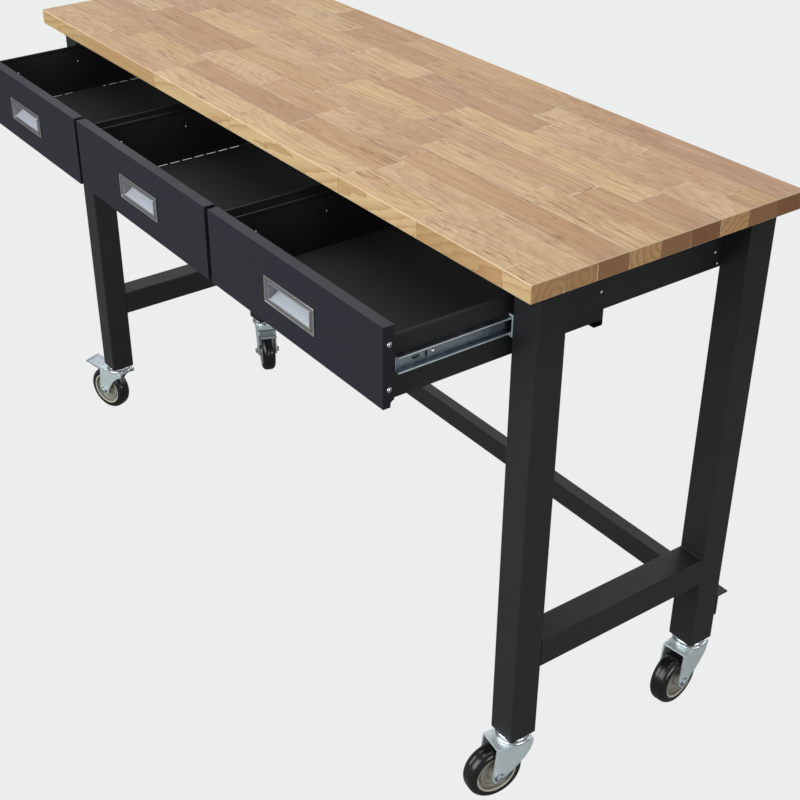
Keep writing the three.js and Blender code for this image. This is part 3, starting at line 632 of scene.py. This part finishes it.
def slide(drawer, hand):
    way = 1 if hand == "right" else -1
    body = "drawer_" + drawer
    key = "%s_%s" % (drawer, hand)
    low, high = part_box("slide_runner_" + key)
    inner, outer = (low.x, high.x) if way > 0 else (high.x, low.x)
    web = inner + way * SLIDE_WALL
    middle = (low.z + high.z) / 2
    out = (way, 0, 0)
    for tag, y in (("front", low.y + 32 * MM), ("rear", high.y - 60 * MM)):
        tall_y, screw_y = y + 17 * MM, y + 29 * MM
        punched("slide_slot_%s_%s" % (tag, key), (web, y, middle), out, 13 * MM, 4.2 * MM, body)
        punched("slide_tall_slot_%s_%s" % (tag, key), (web, tall_y, middle), out, 4 * MM, 9.5 * MM, body)
        screw("slide_screw_%s_%s" % (tag, key), (web, screw_y, middle), out, 3.9 * MM, body)
    # Rolled rib along the web, below its middle
    rib_drop, rib_stop = 6.8 * MM, 4 * MM
    run = facing((web, 0, middle - rib_drop), ALONG_Y, out)
    drawn_out("slide_rib_" + key, mm(SLIDE_RIB), low.y + rib_stop, high.y - rib_stop, run, SLIDE_ZINC, body)
    # Rolled lips along the drawer member's two flanges, and its front end, in a paler zinc that paints a highlight
    # on them
    inset, stop = 1.15 * MM, 0.5 * MM
    lip = mm(SLIDE_LIP, across=-way)
    for tag, z in (("upper", high.z - inset), ("lower", low.z + inset)):
        run = facing((outer, 0, z), ALONG_Y)
        drawn_out("slide_lip_%s_%s" % (tag, key), lip, low.y + stop, high.y - stop, run, CASTER_ZINC_AND_SLIDE_HIGHLIGHT, body)
    nose = facing((inner, low.y, middle), TO_FRONT)
    outline = mm(SLIDE_NOSE, across=way)
    drawn_out("slide_nose_" + key, outline, 0.05 * MM, 1.0 * MM, nose, CASTER_ZINC_AND_SLIDE_HIGHLIGHT, body)
    # C-shaped end of the cabinet member in a paler zinc that paints a highlight on it, with a ball showing in each
    # flange
    c_low, c_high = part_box("slide_channel_" + key)
    wall = c_high.x if way > 0 else c_low.x
    mouth = facing((wall, c_low.y - 0.1 * MM, middle), TO_FRONT)
    drawn_out("slide_end_" + key, mm(SLIDE_END, across=-way), 0, 1.0 * MM, mouth, CASTER_ZINC_AND_SLIDE_HIGHLIGHT, "frame")
    ball_x, ball_y, ball_rise = wall - way * 6.2 * MM, c_low.y - 0.4 * MM, 15.4 * MM
    for tag, up in (("upper", 1), ("lower", -1)):
        ball = facing((ball_x, ball_y, middle + up * ball_rise), ALONG_Z)
        profile = arc((0, 0), BALL_RADIUS, -90, 90)
        lathe("slide_ball_%s_%s" % (tag, key), profile, BALL_STEPS, ball, RACE_CHROME, "frame")


# Drawers: screws in the cheeks of the front and inside the left wall, hems along the wall tops, the pull's lips
# with a painted highlight, and a plate of painted light in its cup. Each lip: name, width, height, breadth and
# rise in mm; the plate: depth and rise
FRONT_SCREW_DROPS = (27, 94)
INNER_SCREW_PLACES = (76, 206)
PULL_LIPS = (("rim", 130, 42, 2.2, 0.7), ("mouth", 110.4, 29.4, 1.8, 0.5))
LIP_EASE, LIP_ROOT = 0.7, -0.05
CUP_LIT_PLATE = ((0.3, -12.28), (1.5, -12.28), (15.25, -3.27), (15.25, -2.97), (1.5, -11.98), (0.3, -11.98))
CUP_HALF = 52.5 * MM


def raised_lip(name, width, height, breadth, rise, face, body):
    """A low frame on a face: outer foot, two crests and inner foot, joined in a ring."""
    inner_width, inner_height = width - 2 * breadth, height - 2 * breadth
    loops = (
        (rounded(width * MM, height * MM, 1.6 * MM), LIP_ROOT),
        (rounded((width - LIP_EASE) * MM, (height - LIP_EASE) * MM, 1.4 * MM), rise),
        (rounded((inner_width + LIP_EASE) * MM, (inner_height + LIP_EASE) * MM, 1.1 * MM), rise),
        (rounded(inner_width * MM, inner_height * MM, 1.0 * MM), LIP_ROOT),
    )
    count = len(loops[0][0])
    verts = [face @ Vector((u, v, z * MM)) for loop, z in loops for u, v in loop]
    faces = []
    for ring in range(len(loops)):
        here, there = ring * count, (ring + 1) % len(loops) * count
        for k in range(count):
            n = (k + 1) % count
            faces.append([here + k, here + n, there + n, there + k])
    # Painted highlight: the lips take a paler steel than the pull
    piece(name, verts, faces, PULL_EDGE_HIGHLIGHT, body)


def drawer(name):
    body = "drawer_" + name
    low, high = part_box("drawer_front_" + name)
    b_low, b_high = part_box("drawer_box_" + name)
    for tag, x, way in (("left", low.x, -1), ("right", high.x, 1)):
        for k, drop in enumerate(FRONT_SCREW_DROPS):
            at = (x, low.y + 10 * MM, high.z - drop * MM)
            screw("front_screw_%s_%d_%s" % (tag, k, name), at, (way, 0, 0), 4.1 * MM, body)
    hem, hem_z, hem_inset = rounded(2.4 * MM, 6 * MM, 1.1 * MM), b_high.z - 2.4 * MM, 0.9 * MM
    for tag, x in (("left", b_low.x + hem_inset), ("right", b_high.x - hem_inset)):
        run, front, rear = facing((x, 0, hem_z), ALONG_Y), high.y + 0.5 * MM, b_high.y - 0.4 * MM
        drawn_out("wall_hem_%s_%s" % (tag, name), hem, front, rear, run, HEM_PAINT, body)
    run = facing((0, b_high.y - hem_inset, hem_z), ALONG_X)
    left, right = b_low.x + 2.2 * MM, b_high.x - 2.2 * MM
    drawn_out("back_hem_" + name, hem, left, right, run, HEM_PAINT, body)
    inside = b_low.x + 1.2 * MM
    for k, y in enumerate(INNER_SCREW_PLACES):
        at = (inside, low.y + y * MM, (b_low.z + b_high.z) / 2 + 19 * MM)
        screw("inner_screw_%d_%s" % (k, name), at, ALONG_X, 2.6 * MM, body)
    # Raised lips round the pull's frame and its mouth, in a paler steel that paints a highlight on their edges
    p_low, p_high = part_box("drawer_pull_" + name)
    face = facing(((p_low.x + p_high.x) / 2, p_low.y, (p_low.z + p_high.z) / 2), TO_FRONT)
    for tag, *lip in PULL_LIPS:
        raised_lip("pull_%s_%s" % (tag, name), *lip, face, body)
    # Plate on the sloping floor of the pull's cup, much paler than the pull's steel: painted light from above on
    # the cup's floor
    slope = facing(face.translation, ALONG_X)
    drawn_out("pull_cup_lit_plate_" + name, mm(CUP_LIT_PLATE), -CUP_HALF, CUP_HALF, slope, CUP_PAINTED_LIGHT, body)


for name in ("left", "middle", "right"):
    drawer(name)
    for hand in ("left", "right"):
        slide(name, hand)


# Frame: bolts and pilot holes in the side aprons, weld beads at the rails and the bar.
# The places are in mm from the apron's front and below its top
APRON_BOLTS = ((108, 69), (334, 72), (341, 92))
APRON_HOLES = ((77, 69), (238, 69), (341, 68))
BOLT_RADIUS, HOLE_WIDTH = 2.7 * MM, 4.2 * MM
RAIL_WELD, RAIL_WELD_INSET = 2.1 * MM, 5 * MM
BAR_WELD, BAR_WELD_INSET = 1.9 * MM, 6 * MM


def side(hand):
    way = 1 if hand == "right" else -1
    out = (way, 0, 0)
    low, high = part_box("side_apron_" + hand)
    plate = low.x + 2 * MM if way > 0 else high.x - 2 * MM
    for k, (y, drop) in enumerate(APRON_BOLTS):
        at = (plate, low.y + y * MM, high.z - drop * MM)
        screw("apron_bolt_%d_%s" % (k, hand), at, out, BOLT_RADIUS, "frame")
    for k, (y, drop) in enumerate(APRON_HOLES):
        at = (plate, low.y + y * MM, high.z - drop * MM)
        punched("apron_hole_%d_%s" % (k, hand), at, out, HOLE_WIDTH, HOLE_WIDTH, "frame")
    r_low, r_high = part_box("side_rail_" + hand)
    left, right = r_low.x + RAIL_WELD_INSET, r_high.x - RAIL_WELD_INSET
    for tag, y in (("front", r_low.y), ("rear", r_high.y)):
        for level, z in (("top", r_high.z), ("under", r_low.z)):
            weld("rail_weld_%s_%s_%s" % (level, tag, hand), (left, y, z), (right, y, z), RAIL_WELD)
    bar_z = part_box("rear_bar")[0].z
    l_low, l_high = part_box("leg_rear_" + hand)
    left, right = l_low.x + BAR_WELD_INSET, l_high.x - BAR_WELD_INSET
    weld("bar_weld_" + hand, (left, l_high.y, bar_z), (right, l_high.y, bar_z), BAR_WELD)


for hand in ("left", "right"):
    side(hand)


# Studio: a pale floor and world that the camera sees as an even grey, and soft light around
BACKDROP = (0.8388, 0.8550, 0.8469, 1.0)
FLOOR_REACH = 9.0
FLOOR_DARK, FLOOR_LIGHT = (0.20, 0.205, 0.20), (0.235, 0.24, 0.235)
SKY, SKY_STRENGTH = (0.93, 0.96, 1.0, 1.0), 0.31


def even_backdrop(tree, kind, shader, output):
    """Show the camera an even grey, and everything else the shader."""
    even = add(tree, kind, {"Color": BACKDROP, "Strength": 1.0})
    ray = add(tree, "ShaderNodeLightPath").outputs["Is Camera Ray"]
    both = add(tree, "ShaderNodeMixShader", {0: ray, 1: shader.outputs[0], 2: even.outputs[0]})
    feed(tree, tree.nodes[output].inputs["Surface"], both.outputs[0])


def studio():
    mesh = bpy.data.meshes.new("studio_floor")
    corners = [(x * FLOOR_REACH, y * FLOOR_REACH, 0) for x, y in ((-1, -1), (1, -1), (1, 1), (-1, 1))]
    mesh.from_pydata(corners, [], [(0, 1, 2, 3)])
    floor = bpy.data.objects.new("studio_floor", mesh)
    bpy.context.scene.collection.objects.link(floor)
    mat, tree, bsdf = material("studio_floor")
    bsdf.inputs["Roughness"].default_value = 0.9
    tone = mixed(tree, noise(tree, object_space(tree), scale=3.0), FLOOR_DARK, FLOOR_LIGHT)
    feed(tree, bsdf.inputs["Base Color"], tone)
    even_backdrop(tree, "ShaderNodeEmission", bsdf, "Material Output")
    mesh.materials.append(mat)
    world = bpy.data.worlds.new("studio_world")
    bpy.context.scene.world = world
    world.use_nodes = True
    sky = world.node_tree.nodes["Background"]
    sky.inputs["Color"].default_value = SKY
    sky.inputs["Strength"].default_value = SKY_STRENGTH
    even_backdrop(world.node_tree, "ShaderNodeBackground", sky, "World Output")


def lamp(name, at, towards, size, power, colour=(1.0, 1.0, 1.0), beam=180):
    data = bpy.data.lights.new(name, "AREA")
    data.shape = "RECTANGLE"
    data.size, data.size_y = size
    data.energy = power
    data.color = colour
    data.spread = math.radians(beam)
    obj = bpy.data.objects.new(name, data)
    obj.location = at
    obj.rotation_euler = (Vector(towards) - Vector(at)).to_track_quat("-Z", "Y").to_euler()
    bpy.context.scene.collection.objects.link(obj)


studio()
lamp("key_overhead", (0.1, -0.7, 3.2), (0.1, 0.0, 0.7), (2.8, 2.0), power=31, colour=(1.0, 0.985, 0.96))
lamp("front_fill", (0.1, -3.9, 2.0), (0.2, 0.0, 0.8), (5.0, 2.8), power=186, colour=(0.97, 0.985, 1.0))
lamp("right_fill", (3.2, 0.2, 1.2), (0.5, 0.0, 0.6), (2.0, 1.2), power=4.5, colour=(1.0, 0.96, 0.90))
lamp(
    "caster_fill", (2.9, 0.2, 0.4), (0.75, 0.0, 0.1), (1.6, 0.5), power=2.9, colour=(0.97, 0.99, 1.0), beam=70)
lamp("rear_left_soft", (-2.9, 1.8, 2.8), (0.0, 0.0, 0.8), (2.6, 2.0), power=22, colour=(0.95, 0.97, 1.0))
lamp("rear_soft", (0.2, 3.4, 1.9), (0.1, 0.1, 0.6), (4.0, 2.2), power=60)

# Camera at the photograph's place, measured from the worktop's near corner
CORNER = Vector((TOP_HIGH.x, TOP_LOW.y, TOP_HIGH.z))
EYE = CORNER + Vector((1.182217, -1.069059, 0.810672))
RIGHT = Vector((0.550228, 0.834734, -0.021627))
DOWN = Vector((0.422766, -0.300821, -0.854854))
AHEAD = Vector((-0.720082, 0.461222, -0.518417))
IMAGE = 800.0
FOCAL_PX = 1401.19
MIDDLE_PX = (325.54, 387.59)
SENSOR = 36.0
camera_data = bpy.data.cameras.new("photo_camera")
camera_data.sensor_width = SENSOR
camera_data.lens = FOCAL_PX * SENSOR / IMAGE
camera_data.shift_x = (IMAGE / 2 - MIDDLE_PX[0]) / IMAGE
camera_data.shift_y = (MIDDLE_PX[1] - IMAGE / 2) / IMAGE
camera = bpy.data.objects.new("photo_camera", camera_data)
camera.matrix_world = Matrix((
    (RIGHT.x, -DOWN.x, -AHEAD.x, EYE.x),
    (RIGHT.y, -DOWN.y, -AHEAD.y, EYE.y),
    (RIGHT.z, -DOWN.z, -AHEAD.z, EYE.z),
    (0, 0, 0, 1),
))
bpy.context.scene.collection.objects.link(camera)
bpy.context.scene.camera = camera
bpy.context.scene.view_settings.view_transform = "Standard"
